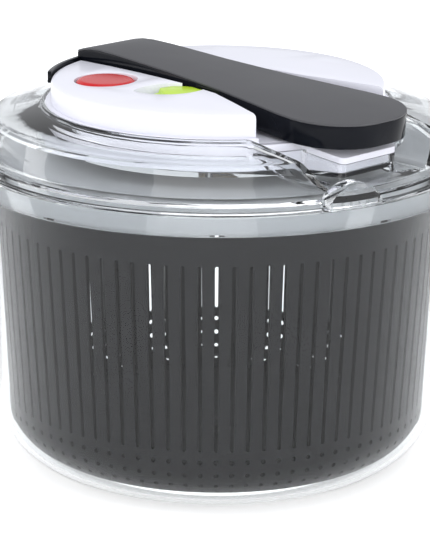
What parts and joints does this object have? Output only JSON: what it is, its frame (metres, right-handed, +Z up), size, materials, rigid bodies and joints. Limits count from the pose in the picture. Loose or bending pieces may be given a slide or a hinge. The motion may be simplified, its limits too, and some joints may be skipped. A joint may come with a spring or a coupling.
{
  "type": "salad spinner",
  "caption": "Lever driven salad spinner: clear bowl and lid, slotted black basket, white geared housing with long lever, brake button and lock.",
  "frame": {"origin": "centre of the bowl's base, on the surface that it stands on", "axes": "+Z up along the spin axis, +X towards the free end of the lever, so the brake button lies on the -Y side"},
  "size_m": [0.264, 0.264, 0.2109],
  "materials": {
    "clear_bowl": "clear injection moulded plastic, polished",
    "clear_lid": "clear injection moulded plastic, polished",
    "basket_black": "satin moulded polypropylene",
    "natural_plate": "clear moulded plastic",
    "acetal": "natural acetal, moulded",
    "steel": "plain bright steel",
    "bush": "self lubricating moulded bush",
    "white_case": "satin gloss moulded ABS",
    "lever_black": "high gloss moulded ABS",
    "lever_satin": "fine satin moulded ABS",
    "red_button": "satin gloss moulded ABS",
    "lime_lock": "satin gloss moulded ABS",
    "pad_rubber": "moulded rubber"
  },
  "bodies": {
    "bowl_body": {"bowl": "clear_bowl"},
    "basket_body": {"basket": "basket_black"},
    "lid_body": {"lid_cover": "clear_lid", "housing_base": "white_case", "housing_cap": "white_case", "gear_bridge": "steel", "gear_axle": "steel", "rack_clip": "steel", "spindle_bush": "bush", "hinge_pin": "steel", "lever_spring": "steel", "brake_spring": "steel", "housing_screws": "steel", "bridge_screws": "steel"},
    "plate_body": {"drive_plate": "natural_plate", "ratchet_ring": "acetal"},
    "clutch_body": {"clutch_driver": "acetal", "clutch_pawls": "acetal", "pawl_springs": "steel", "spindle_washer": "steel", "spindle_screw": "steel"},
    "gear_body": {"compound_gear": "acetal"},
    "rack_body": {"drive_rack": "acetal"},
    "lever_body": {"lever_core": "lever_black", "lever_cover": "lever_satin"},
    "button_body": {"brake_button": "red_button", "brake_pad": "pad_rubber"},
    "lock_body": {"lock_slider": "lime_lock", "lock_spring": "steel"}
  },
  "joints": [
    {"name": "lid_lift", "type": "slide", "parent": "bowl_body", "child": "lid_body", "axis": [0, 0, 1], "range_m": [0, 0.15]},
    {"name": "basket_spin", "type": "hinge", "parent": "bowl_body", "child": "basket_body", "pos_m": [0, 0, 0.01], "axis": [0, 0, 1], "continuous": true},
    {"name": "plate_spin", "type": "hinge", "parent": "lid_body", "child": "plate_body", "pos_m": [0, 0, 0.16], "axis": [0, 0, 1], "continuous": true},
    {"name": "lever_hinge", "type": "hinge", "parent": "lid_body", "child": "lever_body", "pos_m": [-0.076, 0, 0.198], "axis": [0, -1, 0], "range_deg": [0, 24]},
    {"name": "rack_slide", "type": "slide", "parent": "lid_body", "child": "rack_body", "axis": [1, 0, 0], "range_m": [0, 0.0075]},
    {"name": "gear_spin", "type": "hinge", "parent": "lid_body", "child": "gear_body", "pos_m": [-0.03099, 0.01399, 0.18], "axis": [0, 0, 1], "range_deg": [0, 68]},
    {"name": "clutch_spin", "type": "hinge", "parent": "lid_body", "child": "clutch_body", "pos_m": [0, 0, 0.17], "axis": [0, 0, 1], "range_deg": [-315, 0]},
    {"name": "brake_press", "type": "slide", "parent": "lid_body", "child": "button_body", "axis": [0, 0, -1], "range_m": [0, 0.004], "stiffness_N_per_m": 600, "springref_m": -0.003, "deforming": ["brake_spring"]},
    {"name": "lock_slide", "type": "slide", "parent": "lid_body", "child": "lock_body", "axis": [-0.5299, -0.848, 0], "range_m": [0, 0.008]}
  ],
  "couplings": [
    {"joint": "plate_spin", "follows": "basket_spin", "ratio": 1},
    {"joint": "rack_slide", "follows": "lever_hinge", "m_per_rad": 0.0175},
    {"joint": "gear_spin", "follows": "lever_hinge", "ratio": 2.8},
    {"joint": "clutch_spin", "follows": "lever_hinge", "ratio": -13.067}
  ]
}
